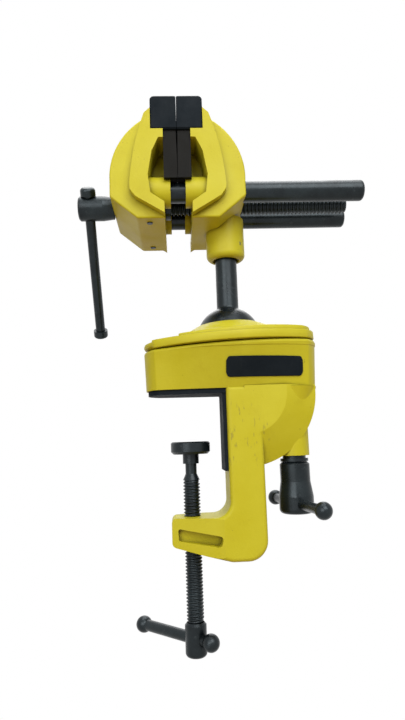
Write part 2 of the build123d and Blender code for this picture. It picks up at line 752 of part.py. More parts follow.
# Sliding bar of the clamp screw, pushed to its stop, with a ball at each end
near_ball = clamp_hub_radius + clamp_ball_radius + part_gap
far_ball = clamp_bar_length - near_ball
with BuildPart() as clamp_bar:
    with BuildSketch(clamp_bar_plane.offset(-far_ball)):
        Circle(clamp_bar_radius)
    extrude(amount=clamp_bar_length)
with BuildPart() as clamp_ball_near:
    with Locations(clamp_bar_plane.offset(near_ball).location):
        Sphere(clamp_ball_radius)
    with BuildSketch(clamp_bar_plane.offset(near_ball - clamp_ball_radius - overlap)):
        Circle(clamp_bar_radius)
    extrude(amount=clamp_ball_radius + overlap, mode=Mode.SUBTRACT)
with BuildPart() as clamp_ball_far:
    with Locations(clamp_bar_plane.offset(-far_ball).location):
        Sphere(clamp_ball_radius)
    with BuildSketch(clamp_bar_plane.offset(-far_ball)):
        Circle(clamp_bar_radius)
    extrude(amount=clamp_ball_radius + overlap, mode=Mode.SUBTRACT)

# Washer between lug and knob
with BuildPart() as lock_washer:
    with BuildSketch(Plane.XY.offset(-lug_bottom - washer_thickness)):
        with Locations((lock_x, 0)):
            Circle(washer_radius + washer_step)
            Circle(stud_radius + running_fit, mode=Mode.SUBTRACT)
    extrude(amount=washer_thickness / 2)
    with BuildSketch(Plane.XY.offset(-lug_bottom - washer_thickness / 2)):
        with Locations((lock_x, 0)):
            Circle(washer_radius)
            Circle(stud_radius + running_fit, mode=Mode.SUBTRACT)
    extrude(amount=washer_thickness / 2)

# Lock knob: round, with a wider grip below, bored for the stud and the bar
knob_top = lug_bottom + washer_thickness + part_gap
grip_top = knob_top + knob_straight + knob_flare
with BuildPart() as lock_knob:
    with BuildSketch(Plane.XZ.shift_origin((lock_x, 0, 0))):
        with BuildLine():
            Polyline((0, -knob_top), (knob_radius - knob_shoulder, -knob_top),
                     (knob_radius, -knob_top - knob_shoulder), (knob_radius, -knob_top - knob_straight),
                     (knob_grip_radius, -grip_top))
            FilletPolyline((knob_grip_radius, -grip_top), (knob_grip_radius, -knob_top - knob_height),
                           (0, -knob_top - knob_height), radius=knob_round)
            Line((0, -knob_top - knob_height), (0, -knob_top))
        make_face()
    revolve(axis=Axis((lock_x, 0, 0), (0, 0, 1)))
    with Locations((lock_x, 0, -knob_top)):
        Cylinder(stud_radius + running_fit, 2 * (stud_end - knob_top + stud_bore_spare),
                 mode=Mode.SUBTRACT)
    with BuildSketch(lock_bar_plane.offset(-2 * knob_grip_radius)):
        Circle(lock_bar_radius)
    extrude(amount=4 * knob_grip_radius, mode=Mode.SUBTRACT)

# Cross bar of the lock knob with a ball at each end
with BuildPart() as lock_bar:
    with BuildSketch(lock_bar_plane):
        Circle(lock_bar_radius)
    extrude(amount=lock_bar_half, both=True)
with BuildPart() as lock_ball_front:
    with Locations(lock_bar_plane.offset(lock_bar_half).location):
        Sphere(lock_ball_radius)
    with BuildSketch(lock_bar_plane.offset(lock_bar_half)):
        Circle(lock_bar_radius)
    extrude(amount=-lock_ball_radius - overlap, mode=Mode.SUBTRACT)
with BuildPart() as lock_ball_rear:
    with Locations(lock_bar_plane.offset(-lock_bar_half).location):
        Sphere(lock_ball_radius)
    with BuildSketch(lock_bar_plane.offset(-lock_bar_half)):
        Circle(lock_bar_radius)
    extrude(amount=lock_ball_radius + overlap, mode=Mode.SUBTRACT)

pieces = {"clamp_body": clamp_body, "bench_pad": bench_pad, "clamp_plate": clamp_plate,
          "lock_stud": lock_stud, "ball_seat": ball_seat, "ball_post": ball_post, "fixed_jaw": fixed_jaw,
          "fixed_jaw_plate": fixed_jaw_plate, "fixed_jaw_cap": fixed_jaw_cap, "spindle_nut": spindle_nut,
          "post_pin": post_pin, "moving_jaw": moving_jaw, "moving_jaw_plate": moving_jaw_plate,
          "moving_jaw_cap": moving_jaw_cap, "guide_rod_front": guide_rod_front,
          "guide_rod_rear": guide_rod_rear, "rod_pin_front": rod_pin_front, "rod_pin_rear": rod_pin_rear,
          "jaw_screw": jaw_screw, "screw_collar": screw_collar, "handle_bar": handle_bar,
          "handle_end_top": handle_end_top, "handle_end_bottom": handle_end_bottom,
          "clamp_screw": clamp_screw, "swivel_pad": swivel_pad, "clamp_bar": clamp_bar,
          "clamp_ball_near": clamp_ball_near, "clamp_ball_far": clamp_ball_far,
          "lock_washer": lock_washer, "lock_knob": lock_knob, "lock_bar": lock_bar,
          "lock_ball_front": lock_ball_front, "lock_ball_rear": lock_ball_rear}
for label, piece in pieces.items():
    piece.part.label = label
    export_step(piece.part, f"parts/{label}.step")
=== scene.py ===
import json
from math import asin, cos, pi, radians, sin, sqrt, tau

import bmesh
import bpy
from mathutils import Matrix, Vector


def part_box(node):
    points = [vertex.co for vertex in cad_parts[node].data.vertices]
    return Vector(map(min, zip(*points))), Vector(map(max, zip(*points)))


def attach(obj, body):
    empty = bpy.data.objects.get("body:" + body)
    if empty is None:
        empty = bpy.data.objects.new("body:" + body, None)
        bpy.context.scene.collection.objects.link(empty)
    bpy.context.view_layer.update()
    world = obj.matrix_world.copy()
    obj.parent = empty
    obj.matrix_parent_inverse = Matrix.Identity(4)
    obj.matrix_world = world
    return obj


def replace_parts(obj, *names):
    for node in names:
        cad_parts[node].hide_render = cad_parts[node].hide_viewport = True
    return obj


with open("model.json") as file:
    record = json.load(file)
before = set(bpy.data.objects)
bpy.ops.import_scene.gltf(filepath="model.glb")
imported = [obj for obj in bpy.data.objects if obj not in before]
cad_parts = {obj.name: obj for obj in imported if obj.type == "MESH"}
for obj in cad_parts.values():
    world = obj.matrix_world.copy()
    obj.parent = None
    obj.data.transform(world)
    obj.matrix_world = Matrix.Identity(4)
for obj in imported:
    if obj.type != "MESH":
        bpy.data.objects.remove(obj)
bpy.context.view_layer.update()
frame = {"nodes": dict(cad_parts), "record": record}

MM = 0.001

# Camera: place in metres and angles in radians in the part's frame, lens and sensor in millimetres
CAMERA_PLACE = (-0.0069, -0.3546, -0.0302)
CAMERA_YAW = 0.046
CAMERA_PITCH = 0.148
CAMERA_ROLL = -0.034
CAMERA_LENS = 27.97
CAMERA_SENSOR = 36
CAMERA_CLIP = 10 * MM

# Jaw screw along X: its plain shaft runs from the hub's face to the screw's end
SCREW_HEIGHT = 126 * MM
SCREW_RADIUS = 5.6 * MM
SCREW_PITCH = 2.5 * MM
SCREW_THREAD_DEPTH = 0.95 * MM
SCREW_HUB_FACE = -45.7 * MM
SCREW_HUB_OVERLAP = 1 * MM

# Clamp screw along Z: its plain shaft runs from the hub to the cone under the pad
CLAMP_RADIUS = 5.2 * MM
CLAMP_PITCH = 2.0 * MM
CLAMP_THREAD_DEPTH = 0.8 * MM
CLAMP_HUB_TOP = -135.6 * MM
CLAMP_CONE_FOOT = -52.3 * MM

# Ball and post
BALL = Vector((27, 0, 36)) * MM
BALL_RADIUS = 20.5 * MM
POST_RADIUS = 7 * MM
POST_TOP = 112 * MM
POST_CHAMFER = 1 * MM
POST_FILLET = 1.6 * MM
GROOVE_LOW = 94.7 * MM
GROOVE_HIGH = 99.3 * MM
GROOVE_RADIUS = 5 * MM

# Clamp plate: its plane is tilted about Y and lies just over the clamp frame. The matrix turns
# the plate's own coordinates, from its underside at the ball's axis, into the part's.
PLATE_TILT = radians(2.5)
PLATE_ORIGIN = Vector((26.97, 0, 30.7)) * MM
PLATE_FRAME = Matrix.Translation(PLATE_ORIGIN) @ Matrix.Rotation(-PLATE_TILT, 4, "Y")
PLATE_AROUND = 240

# Plan of the plate and the frame: two bowed sides and two bowed ends
PLAN_HALF = 31 * MM
PLAN_END_HALF = 17 * MM
PLAN_LENGTH = 110 * MM
PLAN_END_BOW = 7 * MM

# A rounded edge is three points, the middle one this share of its radius off both faces
EDGE_EASE = 0.3

# Flange of the plate, and its thinner nose that stands clear of the frame. A step leads up from the
# nose, as points inwards and down from the flange's top edge. Elsewhere fillers, at these shares of
# the ledge, give a section as many points as one through the nose has.
FLANGE_INSET = 0.4 * MM
FLANGE_TOP = 5.2 * MM
FLANGE_ROUND = 0.8 * MM
FLANGE_LEDGE = 1.3 * MM
FLANGE_BORE = 21.1 * MM
NOSE_START = -49 * MM
NOSE_FOOT = 0.8 * MM
NOSE_TOP = 4.3 * MM
NOSE_ROUND = 1.4 * MM
NOSE_STEP = ((0.1 * MM, 0.3 * MM), (0.4 * MM, 0))
LEDGE_FILLERS = (0.1, 0.15, 0.2)

# Low tier on the flange, which rises towards the stud; its edge as points inwards and down
TIER_START = -32.3 * MM
TIER_LOW = 1.7 * MM
TIER_RISE = 1.2 * MM
TIER_RUN = 42 * MM
TIER_EDGE = ((0, 0.7 * MM), (0.25 * MM, 0.25 * MM), (0.8 * MM, 0))

# Dome on the tier, open round the ball, and the seat inside it
DOME_FOOT = 31 * MM
DOME_LEDGE = 1.2 * MM
DOME_BULGE = 0.2
DOME_STEPS = 6
MOUTH_RADIUS = 20 * MM
MOUTH_LIP = 0.8 * MM
MOUTH_TOP = 13.5 * MM
SEAT_TOP = MOUTH_TOP - 0.4 * MM
SEAT_FOOT = 7.6 * MM
SEAT_STEPS = 4
SEAT_RADIUS = BALL_RADIUS + 0.05 * MM

# Lock stud: a wide sink in the plate's raised end and a bore through it, each as floor, radius and depth
LOCK_X = 65 * MM
LOCK_SINK = (37.4 * MM, 7.4 * MM, 20 * MM)
LOCK_BORE = (20 * MM, 4.4 * MM, 30 * MM)

# Rays that find the clamp frame's surface start this far out
PROBE = 80 * MM

# Stage: places in metres, powers in watts
FLOOR_HEIGHT = -0.32
FLOOR_SIZE = 6
FLOOR_COLOUR = (0.36, 0.24, 0.13, 1)
FLOOR_ROUGHNESS = 0.9
AMBIENT_COLOUR = (0.93, 0.96, 1.0, 1)
AMBIENT_STRENGTH = 0.24
LIGHT_SIZE = 0.9
LIGHT_AIM = Vector((0.01, 0, 0.04))
LIGHTS = (
    ("key", (0.36, -0.95, 0.84), 13),
    ("fill", (-0.60, -1.20, 0.38), 9),
    ("top", (0.0, 0.10, 1.1), 10),
    ("back", (0.10, 1.10, 0.85), 4),
)


# ---------------------------------------------------------------- materials

class Nodes:
    """Short spelling for one material's node tree."""

    def __init__(self, name):
        self.material = bpy.data.materials.new(name)
        self.material.use_nodes = True
        self.tree = self.material.node_tree
        self.shader = self.tree.nodes["Principled BSDF"]
        self.place = self.add("ShaderNodeTexCoord").outputs["Object"]

    def add(self, kind, **settings):
        node = self.tree.nodes.new(kind)
        for key, value in settings.items():
            setattr(node, key, value)
        return node

    def link(self, out, into):
        self.tree.links.new(out, into)

    def noise(self, scale, detail, rough=0.55, stretch=None):
        """Noise in the piece's own coordinates, optionally with its scale stretched along the axes."""
        node = self.add("ShaderNodeTexNoise")
        node.inputs["Scale"].default_value = scale
        node.inputs["Detail"].default_value = detail
        node.inputs["Roughness"].default_value = rough
        place = self.place
        if stretch:
            mapping = self.add("ShaderNodeMapping")
            mapping.inputs["Scale"].default_value = stretch
            self.link(place, mapping.inputs["Vector"])
            place = mapping.outputs["Vector"]
        self.link(place, node.inputs["Vector"])
        return node.outputs["Fac"]

    def ramp(self, fac, first, last):
        """A blend between two stops, each an input and its colour."""
        node = self.add("ShaderNodeValToRGB")
        for element, (spot, colour) in zip(node.color_ramp.elements, (first, last)):
            element.position = spot
            element.color = (*colour, 1.0)
        self.link(fac, node.inputs["Fac"])
        return node.outputs["Color"]

    def spread(self, fac, low, high, start=0.3, full=0.7):
        """Low up to the start of the input, high from full on, and a straight run between them."""
        node = self.add("ShaderNodeMapRange")
        node.inputs["From Min"].default_value = start
        node.inputs["From Max"].default_value = full
        node.inputs["To Min"].default_value = low
        node.inputs["To Max"].default_value = high
        self.link(fac, node.inputs["Value"])
        return node.outputs["Result"]

    def patches(self, fac, amount, start, full):
        """A mask of patches: none up to the start of the input, the amount from full on."""
        return self.spread(fac, 0.0, amount, start, full)

    def near(self, place, inner, outer):
        """One near the place, none beyond the outer radius."""
        node = self.add("ShaderNodeVectorMath", operation="DISTANCE")
        node.inputs[1].default_value = place
        self.link(self.place, node.inputs[0])
        return self.spread(node.outputs["Value"], 1.0, 0.0, inner, outer)

    def painted_crease_shade(self, reach, depth):
        """A mask for painted shade: nearly depth in a narrow inside corner, none on an open face."""
        node = self.add("ShaderNodeAmbientOcclusion", samples=12, only_local=True)
        node.inputs["Distance"].default_value = reach
        return self.spread(node.outputs["AO"], depth, 0.0, start=0.35, full=0.85)

    def product(self, a, b):
        """Two masks multiplied."""
        node = self.add("ShaderNodeMath", operation="MULTIPLY")
        self.link(a, node.inputs[0])
        self.link(b, node.inputs[1])
        return node.outputs[0]

    def mix(self, fac, under, colour):
        """The colour laid over what is under it where the mask says so."""
        node = self.add("ShaderNodeMix", data_type="RGBA")
        node.inputs["B"].default_value = (*colour, 1.0)
        self.link(fac, node.inputs["Factor"])
        self.link(under, node.inputs["A"])
        return node.outputs["Result"]

    def bump(self, height, distance, strength, under=None):
        node = self.add("ShaderNodeBump")
        node.inputs["Distance"].default_value = distance
        node.inputs["Strength"].default_value = strength
        self.link(height, node.inputs["Height"])
        if under:
            self.link(under, node.inputs["Normal"])
        return node.outputs["Normal"]

    def finish(self, colour, rough, normal, **uniform):
        """The material, with these outputs and uniform values on its shader's sockets."""
        self.link(colour, self.shader.inputs["Base Color"])
        self.link(rough, self.shader.inputs["Roughness"])
        self.link(normal, self.shader.inputs["Normal"])
        for key, value in uniform.items():
            self.shader.inputs[key.replace("_", " ")].default_value = value
        return self.material


def yellow_coat():
    """Semi-gloss powder coat on cast metal: orange peel, faint grime, chips, one worn patch, scratches, and
    painted shade in the creases.
    """
    n = Nodes("yellow_coat")
    deep, pale = (0.48, 0.42, 0.010), (0.54, 0.49, 0.026)
    dirt, chip, bare = (0.36, 0.27, 0.008), (0.12, 0.09, 0.012), (0.20, 0.16, 0.04)
    # The scratches are real wear; the shade colour is painted shade laid into the creases
    scratched, shade = (0.68, 0.60, 0.10), (0.10, 0.07, 0.004)
    worn_place, worn_inner, worn_outer = Vector((30, -16, -26)) * MM, 14 * MM, 24 * MM
    crease_reach, crease_shade_depth = 3.5 * MM, 0.7
    colour = n.ramp(n.noise(scale=26, detail=5), (0.30, deep), (0.70, pale))
    grime = n.patches(n.noise(scale=60, detail=8, rough=0.7), amount=0.35, start=0.55, full=0.85)
    colour = n.mix(grime, colour, dirt)
    chips = n.patches(n.noise(scale=620, detail=3, rough=0.5), amount=0.7, start=0.73, full=0.77)
    colour = n.mix(chips, colour, chip)
    rubs = n.patches(n.noise(scale=330, detail=7, rough=0.62, stretch=(1.7, 1.0, 0.5)),
                     amount=0.6, start=0.58, full=0.66)
    worn = n.product(n.near(worn_place, worn_inner, worn_outer), rubs)
    colour = n.mix(worn, colour, bare)
    scratches = n.patches(n.noise(scale=90, detail=6, rough=0.6, stretch=(1.0, 7.0, 0.35)),
                          amount=0.45, start=0.70, full=0.76)
    colour = n.mix(scratches, colour, scratched)
    # Painted shade: the coat is darkened towards the shade colour in narrow inside corners and creases
    colour = n.mix(n.painted_crease_shade(crease_reach, crease_shade_depth), colour, shade)
    peel = n.bump(n.noise(scale=700, detail=2), distance=0.12 * MM, strength=0.55)
    cast = n.bump(n.noise(scale=130, detail=3), distance=0.3 * MM, strength=0.35, under=peel)
    rough = n.spread(n.noise(scale=45, detail=6), low=0.38, high=0.54)
    return n.finish(colour, rough, cast, Specular_IOR_Level=0.22)


def black_steel():
    """Black-oxide turned steel: blue-black, oily, faint turning marks and rubbed patches."""
    n = Nodes("black_steel")
    deep, pale, bright = (0.006, 0.009, 0.011), (0.019, 0.028, 0.032), (0.10, 0.12, 0.13)
    colour = n.ramp(n.noise(scale=70, detail=6, rough=0.6), (0.30, deep), (0.72, pale))
    rubbed = n.patches(n.noise(scale=210, detail=7, rough=0.65), amount=0.45, start=0.60, full=0.82)
    colour = n.mix(rubbed, colour, bright)
    rough = n.spread(n.noise(scale=120, detail=6), low=0.22, high=0.38)
    marks = n.bump(n.noise(scale=900, detail=3), distance=0.05 * MM, strength=0.5)
    return n.finish(colour, rough, marks, Metallic=0.5, Specular_IOR_Level=0.4)


def black_rubber():
    """Moulded near-black rubber with a fine matte grain and a dusty bloom."""
    n = Nodes("black_rubber")
    deep, pale, dusty = (0.004, 0.007, 0.010), (0.009, 0.013, 0.017), (0.07, 0.08, 0.09)
    colour = n.ramp(n.noise(scale=55, detail=6), (0.30, deep), (0.74, pale))
    dust = n.patches(n.noise(scale=240, detail=8, rough=0.7), amount=0.10, start=0.55, full=0.85)
    colour = n.mix(dust, colour, dusty)
    rough = n.spread(n.noise(scale=90, detail=5), low=0.60, high=0.80)
    grain = n.bump(n.noise(scale=1500, detail=2), distance=0.12 * MM, strength=0.5)
    return n.finish(colour, rough, grain, Specular_IOR_Level=0.09)


def black_plastic():
    """Moulded black plastic, a little glossier than the rubber, with a light spark texture."""
    n = Nodes("black_plastic")
    deep, pale, scuffed = (0.004, 0.0038, 0.003), (0.008, 0.0075, 0.006), (0.03, 0.03, 0.028)
    colour = n.ramp(n.noise(scale=40, detail=5), (0.30, deep), (0.72, pale))
    scuffs = n.patches(n.noise(scale=300, detail=7, rough=0.65), amount=0.2, start=0.62, full=0.85)
    colour = n.mix(scuffs, colour, scuffed)
    rough = n.spread(n.noise(scale=80, detail=5), low=0.42, high=0.60)
    grain = n.bump(n.noise(scale=1100, detail=2), distance=0.08 * MM, strength=0.45)
    return n.finish(colour, rough, grain, Specular_IOR_Level=0.08)


def seat_plastic():
    """Off-white bearing plastic of the ball's seat ring."""
    n = Nodes("seat_plastic")
    deep, pale = (0.55, 0.54, 0.50), (0.68, 0.67, 0.63)
    colour = n.ramp(n.noise(scale=60, detail=4), (0.30, deep), (0.70, pale))
    rough = n.spread(n.noise(scale=150, detail=5), low=0.4, high=0.6)
    grain = n.bump(n.noise(scale=800, detail=2), distance=0.06 * MM, strength=0.4)
    return n.finish(colour, rough, grain)


def nut_brass():
    """Turned brass of the nut inside the fixed jaw."""
    n = Nodes("nut_brass")
    deep, pale = (0.50, 0.36, 0.13), (0.66, 0.50, 0.21)
    colour = n.ramp(n.noise(scale=80, detail=5), (0.30, deep), (0.70, pale))
    rough = n.spread(n.noise(scale=200, detail=5), low=0.25, high=0.42)
    marks = n.bump(n.noise(scale=900, detail=2), distance=0.05 * MM, strength=0.4)
    return n.finish(colour, rough, marks, Metallic=1.0)


MATERIALS = {
    "yellow_coat": yellow_coat(),
    "black_steel": black_steel(),
    "black_rubber": black_rubber(),
    "black_plastic": black_plastic(),
    "seat_plastic": seat_plastic(),
    "nut_brass": nut_brass(),
}


def paint(obj, slot):
    """Gives an object the finish of a slot."""
    obj.data.materials.clear()
    obj.data.materials.append(MATERIALS[slot])


for part in frame["record"]["subparts"]:
    paint(frame["nodes"][part["node"]], part["material_slot"])


# ---------------------------------------------------------------- mesh pieces

def linked(name, data):
    """A new object in the scene."""
    obj = bpy.data.objects.new(name, data)
    bpy.context.scene.collection.objects.link(obj)
    return obj


def as_mesh(name, bm):
    """A mesh from a bmesh, with its faces turned outwards; the bmesh is freed."""
    mesh = bpy.data.meshes.new(name)
    bmesh.ops.recalc_face_normals(bm, faces=bm.faces)
    bm.to_mesh(mesh)
    bm.free()
    return mesh


def new_piece(name, bm, body, slot, smooth_angle=40):
    """A mesh object in the part's frame that rides on a body and takes a slot's finish."""
    mesh = as_mesh(name, bm)
    mesh.shade_smooth()
    mesh.set_sharp_from_angle(angle=radians(smooth_angle))
    obj = linked(name, mesh)
    paint(obj, slot)
    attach(obj, body)
    return obj


def circle(count):
    """Evenly spaced turns round a circle."""
    return [tau * k / count for k in range(count)]


def add_thread(bm, start, along, radius, pitch, length, depth, around=40, steps=10):
    """A closed threaded rod: a grid of rings whose radius dips once per pitch round the helix."""
    crest, flank = 0.45, 2.0
    axis = Vector(along).normalized()
    side = axis.orthogonal().normalized()
    up = axis.cross(side)
    start = Vector(start)
    count = int(length / pitch * steps) + 1
    rings = []
    for i in range(count + 1):
        z = length * i / count
        fade = min(1.0, z / pitch, (length - z) / pitch)
        ring = []
        for turn in circle(around):
            phase = (z / pitch - turn / tau) % 1.0
            dip = min(1.0, max(0.0, flank * abs(2 * phase - 1) - crest))
            r = radius - depth * (dip if fade >= 1.0 else max(dip, 1.0 - fade))
            ring.append(bm.verts.new(start + axis * z + (side * cos(turn) + up * sin(turn)) * r))
        rings.append(ring)
    for low, high in zip(rings, rings[1:]):
        for k in range(around):
            m = (k + 1) % around
            bm.faces.new((low[k], low[m], high[m], high[k]))
    bm.faces.new(rings[0])
    bm.faces.new(list(reversed(rings[-1])))


def without_shaft(node, start, along, radius, low, high):
    """A copy of a node's mesh without the plain shaft of that radius between two places on its axis."""
    beside, beyond = 0.02 * MM, 0.05 * MM
    axis = Vector(along).normalized()
    start = Vector(start)

    def on_shaft(vert):
        arm = vert.co - start
        z = arm.dot(axis)
        return (arm - axis * z).length < radius + beside and low - beyond <= z <= high + beyond

    bm = bmesh.new()
    bm.from_mesh(frame["nodes"][node].data)
    doomed = [face for face in bm.faces if all(on_shaft(vert) for vert in face.verts)]
    bmesh.ops.delete(bm, geom=doomed, context="FACES")
    return bm


def threaded_screws():
    """The jaw screw and the clamp screw with their real threads."""
    _, far_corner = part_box("jaw_screw")
    screw_end = far_corner[0]
    thread_start = SCREW_HUB_FACE - SCREW_HUB_OVERLAP
    bm = without_shaft("jaw_screw", (0, 0, SCREW_HEIGHT), (1, 0, 0), SCREW_RADIUS, SCREW_HUB_FACE, screw_end)
    add_thread(bm, (thread_start, 0, SCREW_HEIGHT), (1, 0, 0), SCREW_RADIUS, SCREW_PITCH,
               screw_end - thread_start, SCREW_THREAD_DEPTH)
    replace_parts(new_piece("jaw_screw_threaded", bm, "spindle", "black_steel"), "jaw_screw")

    bm = without_shaft("clamp_screw", (0, 0, 0), (0, 0, 1), CLAMP_RADIUS, CLAMP_HUB_TOP, CLAMP_CONE_FOOT)
    add_thread(bm, (0, 0, CLAMP_HUB_TOP), (0, 0, 1), CLAMP_RADIUS, CLAMP_PITCH,
               CLAMP_CONE_FOOT - CLAMP_HUB_TOP, CLAMP_THREAD_DEPTH)
    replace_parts(new_piece("clamp_screw_threaded", bm, "clamp_spindle", "black_steel"), "clamp_screw")


def lathe(bm, profile, axis_point, around=72):
    """A closed turned solid about a vertical axis from (radius, height) pairs; radius 0 closes an end."""
    rings = []
    for r, z in profile:
        turns = circle(around) if r else [0]
        rings.append([bm.verts.new((axis_point.x + r * cos(turn), axis_point.y + r * sin(turn), z))
                      for turn in turns])
    for low, high in zip(rings, rings[1:]):
        for k in range(around):
            m = (k + 1) % around
            if len(low) == 1:
                bm.faces.new((low[0], high[m], high[k]))
            elif len(high) == 1:
                bm.faces.new((low[k], low[m], high[0]))
            else:
                bm.faces.new((low[k], low[m], high[m], high[k]))


def ball_and_post():
    """The whole ball with a small fillet into its post, and the post's groove."""
    ball_steps, fillet_steps, fillet_bite = 32, 5, 0.9
    seam = 0.1 * MM
    profile = [(0, BALL.z - BALL_RADIUS)]
    last = pi - asin((POST_RADIUS + POST_FILLET * fillet_bite) / BALL_RADIUS)
    for i in range(1, ball_steps + 1):
        turn = last * i / ball_steps
        profile.append((BALL_RADIUS * sin(turn), BALL.z - BALL_RADIUS * cos(turn)))
    foot_radius, foot_height = profile[-1]
    fillet_top = BALL.z + sqrt(BALL_RADIUS**2 - POST_RADIUS**2) + POST_FILLET
    for i in range(1, fillet_steps + 1):
        turn = pi / 2 * i / fillet_steps
        profile.append((POST_RADIUS + (foot_radius - POST_RADIUS) * (1 - sin(turn)),
                        foot_height + (fillet_top - foot_height) * (1 - cos(turn))))
    profile += [(POST_RADIUS, GROOVE_LOW - seam), (POST_RADIUS, GROOVE_LOW), (GROOVE_RADIUS, GROOVE_LOW),
                (GROOVE_RADIUS, GROOVE_HIGH), (POST_RADIUS, GROOVE_HIGH),
                (POST_RADIUS, POST_TOP - POST_CHAMFER), (POST_RADIUS - POST_CHAMFER, POST_TOP), (0, POST_TOP)]
    bm = bmesh.new()
    lathe(bm, profile, BALL)
    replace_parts(new_piece("ball_and_post", bm, "ball", "black_steel"), "ball_post")


def plan_reach(turn, inset):
    """Distance from the ball's axis to the plan's edge in a direction, the edge moved in by inset."""
    half, tip = PLAN_HALF - inset, PLAN_END_HALF - inset
    corner = PLAN_LENGTH / 2 - inset - PLAN_END_BOW
    side_sag = half - tip
    side = (corner**2 + side_sag**2) / (2 * side_sag)
    end = (tip**2 + PLAN_END_BOW**2) / (2 * PLAN_END_BOW)
    c, n = abs(cos(turn)), abs(sin(turn))
    if n * corner < tip * c:
        centre = corner + PLAN_END_BOW - end
        return centre * c + sqrt((centre * c)**2 - centre**2 + end**2)
    drop = side - half
    return -drop * n + sqrt((drop * n)**2 - drop**2 + side**2)


def closed_skin(bm, columns):
    """Faces between neighbouring closed columns of vertices, the last column joined to the first."""
    for a, b in zip(columns, columns[1:] + columns[:1]):
        for i in range(len(a)):
            m = (i + 1) % len(a)
            bm.faces.new((a[i], b[i], b[m], a[m]))


def on_clamp_body(start, along):
    """Where a ray meets the clamp frame."""
    return frame["nodes"]["clamp_body"].ray_cast(start, along)[1]


def body_rim():
    """Low band round the frame under its top edge, tall at the stud and dying out at the mouth."""
    top, lead, tallest, shortest = -2.3 * MM, 1.0 * MM, 3.4 * MM, 0.3 * MM
    mouth, stud, fade = -45 * MM, 47 * MM, 0.25
    proud, hidden, sunk, bevel = 0.35 * MM, -0.10 * MM, -0.6 * MM, 0.2 * MM
    top_ease, foot_ease = 0.6, 0.4
    bm = bmesh.new()
    columns = []
    for turn in circle(PLATE_AROUND):
        out = Vector((cos(turn), sin(turn), 0))
        share = min(1.0, max(0.0, (plan_reach(turn, 0) * out.x - mouth) / (stud - mouth)))
        foot = min(top - shortest, -lead - tallest * sqrt(share))
        stand = hidden + (proud - hidden) * min(1.0, share / fade)
        section = ((top + 2 * bevel, sunk), (top, top_ease * stand), (top - bevel, stand),
                   (foot, stand), (foot - bevel, foot_ease * stand), (foot - 2 * bevel, sunk))
        outwards = PLATE_FRAME.to_3x3() @ out
        column = []
        for level, off in section:
            place = on_clamp_body(PLATE_FRAME @ (out * PROBE + Vector((0, 0, level))), -outwards)
            column.append(bm.verts.new(place + outwards * off))
        columns.append(column)
    closed_skin(bm, columns)
    new_piece("body_rim", bm, "frame", "yellow_coat", smooth_angle=30)


def plate_section(turn, seat):
    """The clamp plate's closed section in a direction from the ball's axis, as (reach, height) pairs."""
    c, n = cos(turn), sin(turn)
    reach = plan_reach(turn, FLANGE_INSET)

    # Bore, underside, rounded rim, and the way in to the tier: up a step from the nose, level elsewhere
    if reach * c < NOSE_START:
        foot, top, round_off, inner = NOSE_FOOT, NOSE_TOP, NOSE_ROUND, NOSE_START / c
        way_in = [(inner, top)] + [(inner - back, FLANGE_TOP - down) for back, down in NOSE_STEP]
    else:
        foot, top, round_off, inner = 0, FLANGE_TOP, FLANGE_ROUND, reach - 2 * FLANGE_LEDGE
        way_in = [(reach - round_off - FLANGE_LEDGE * share, FLANGE_TOP) for share in LEDGE_FILLERS]
    ease = EDGE_EASE * round_off
    line = [(FLANGE_BORE, 0), (min(inner, reach - 2 * round_off), 0),
            (reach - round_off, foot), (reach - ease, foot + ease), (reach, foot + round_off),
            (reach, top - round_off), (reach - ease, top - ease), (reach - round_off, top)] + way_in

    # Tier, which ends in a straight edge short of the nose
    tier = reach - round_off - FLANGE_LEDGE
    if c < 0:
        tier = min(tier, TIER_START / c)
    climb = min(1.0, max(0.0, (tier * c - TIER_START) / TIER_RUN))
    shoulder = FLANGE_TOP + TIER_LOW + TIER_RISE * climb
    line.append((tier, FLANGE_TOP))
    line += [(tier - back, shoulder - down) for back, down in TIER_EDGE]

    # Dome up to its mouth, and the seat down round the ball
    start = min(DOME_FOOT, tier - DOME_LEDGE)
    for i in range(DOME_STEPS + 1):
        part = i / DOME_STEPS
        line.append((start + (MOUTH_RADIUS - start) * part,
                     shoulder + (MOUTH_TOP - shoulder) * part * (1 + DOME_BULGE - DOME_BULGE * part)))
    line.append((MOUTH_RADIUS - MOUTH_LIP, MOUTH_TOP))
    for i in range(SEAT_STEPS + 1):
        z = SEAT_TOP + (SEAT_FOOT - SEAT_TOP) * i / SEAT_STEPS
        line.append((seat.x * c + sqrt(SEAT_RADIUS**2 - (z - seat.z)**2 - (seat.x * n)**2), z))
    return line


def bore(piece, floor, radius, depth):
    """Bores a round upright hole whose floor is at a point."""
    around = 48
    top = floor.z + depth
    bm = bmesh.new()
    lathe(bm, [(0, floor.z), (radius, floor.z), (radius, top), (0, top)], floor, around)
    tool = linked("cutter", as_mesh("cutter", bm))
    cut = piece.modifiers.new("bore", "BOOLEAN")
    cut.object = tool
    cut.operation = "DIFFERENCE"
    cut.solver = "EXACT"
    bpy.context.view_layer.update()
    bored = piece.evaluated_get(bpy.context.evaluated_depsgraph_get())
    mesh = bpy.data.meshes.new_from_object(bored)
    piece.modifiers.clear()
    piece.data = mesh
    bpy.data.objects.remove(tool)


def clamp_plate():
    """The clamp plate as one form: bowed flange, its nose, the dome and the raised end round the stud."""
    seat = PLATE_FRAME.inverted() @ BALL
    bm = bmesh.new()
    closed_skin(bm, [
        [bm.verts.new(PLATE_FRAME @ Vector((r * cos(turn), r * sin(turn), z)))
         for r, z in plate_section(turn, seat)]
        for turn in circle(PLATE_AROUND)
    ])
    piece = new_piece("clamp_plate_formed", bm, "frame", "yellow_coat", smooth_angle=42)
    for floor, radius, depth in (LOCK_SINK, LOCK_BORE):
        bore(piece, Vector((LOCK_X, 0, floor)), radius, depth)
    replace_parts(piece, "clamp_plate")


